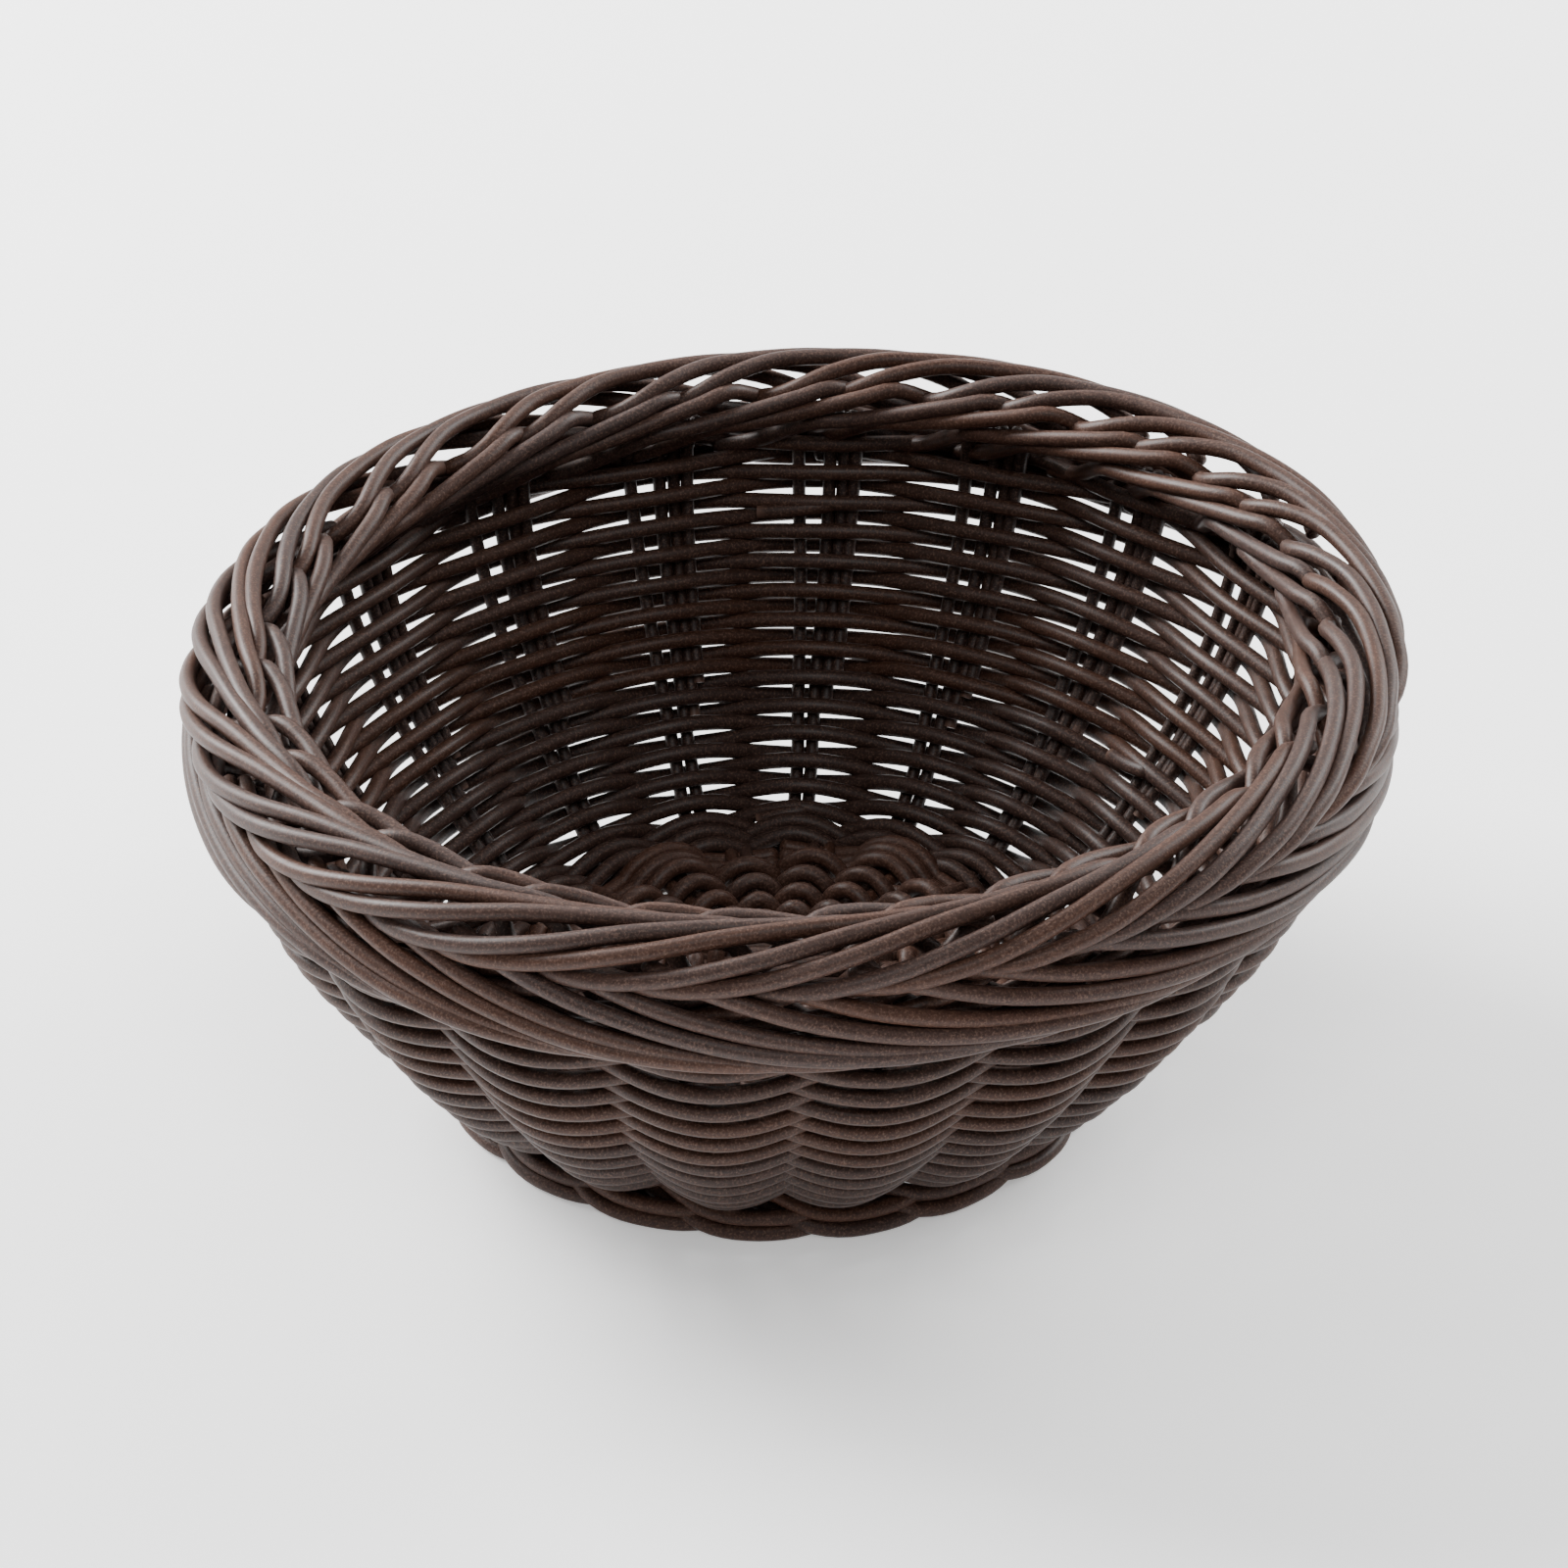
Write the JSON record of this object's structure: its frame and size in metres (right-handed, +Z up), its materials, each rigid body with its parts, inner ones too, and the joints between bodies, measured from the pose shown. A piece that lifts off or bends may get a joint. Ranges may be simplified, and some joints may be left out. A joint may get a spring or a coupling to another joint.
{
  "type": "woven fruit basket",
  "caption": "Round open basket woven from dark brown plastic strand, with stakes in groups, a plain-woven bowl wall, a rolled border, a woven base and a foot ring.",
  "frame": {"origin": "on the table plane, under the centre of the border's outer circle, which is the centre of the bounding box's bottom", "axes": "+Z up through the mouth, +X towards the side where the border stands highest, +Y to the back of the basket, square to X"},
  "size_m": [0.23, 0.23, 0.0998],
  "materials": {
    "weaver_strand": "matte extruded plastic strand, dark brown",
    "stake_strand": "matte extruded plastic strand, dark brown",
    "border_strand": "matte extruded plastic strand, dark brown",
    "base_strand": "matte extruded plastic strand, dark brown"
  },
  "bodies": {
    "root": {"base_core": "base_strand", "base_ring_01": "base_strand", "base_ring_02": "base_strand", "base_ring_03": "base_strand", "border_inner_roll": "border_strand", "border_outer_roll": "border_strand", "foot_border": "base_strand", "stake_group_01": "stake_strand", "stake_group_02": "stake_strand", "stake_group_03": "stake_strand", "stake_group_04": "stake_strand", "stake_group_05": "stake_strand", "stake_group_06": "stake_strand", "stake_group_07": "stake_strand", "stake_group_08": "stake_strand", "stake_group_09": "stake_strand", "stake_group_10": "stake_strand", "stake_group_11": "stake_strand", "stake_group_12": "stake_strand", "stake_group_13": "stake_strand", "stake_group_14": "stake_strand", "stake_group_15": "stake_strand", "stake_group_16": "stake_strand", "stake_group_17": "stake_strand", "stake_group_18": "stake_strand", "stake_group_19": "stake_strand", "weave_row_01": "weaver_strand", "weave_row_02": "weaver_strand", "weave_row_03": "weaver_strand", "weave_row_04": "weaver_strand", "weave_row_05": "weaver_strand", "weave_row_06": "weaver_strand", "weave_row_07": "weaver_strand", "weave_row_08": "weaver_strand", "weave_row_09": "weaver_strand", "weave_row_10": "weaver_strand", "weave_row_11": "weaver_strand", "weave_row_12": "weaver_strand", "weave_row_13": "weaver_strand", "weave_row_14": "weaver_strand", "weave_row_15": "weaver_strand", "weave_row_16": "weaver_strand", "weave_row_17": "weaver_strand", "weave_row_18": "weaver_strand", "weave_row_19": "weaver_strand", "weave_row_20": "weaver_strand", "weave_row_21": "weaver_strand", "weave_row_22": "weaver_strand", "weave_row_23": "weaver_strand", "weave_row_24": "weaver_strand", "weave_row_25": "weaver_strand", "weave_row_26": "weaver_strand", "weave_row_27": "weaver_strand"}
  },
  "joints": []
}
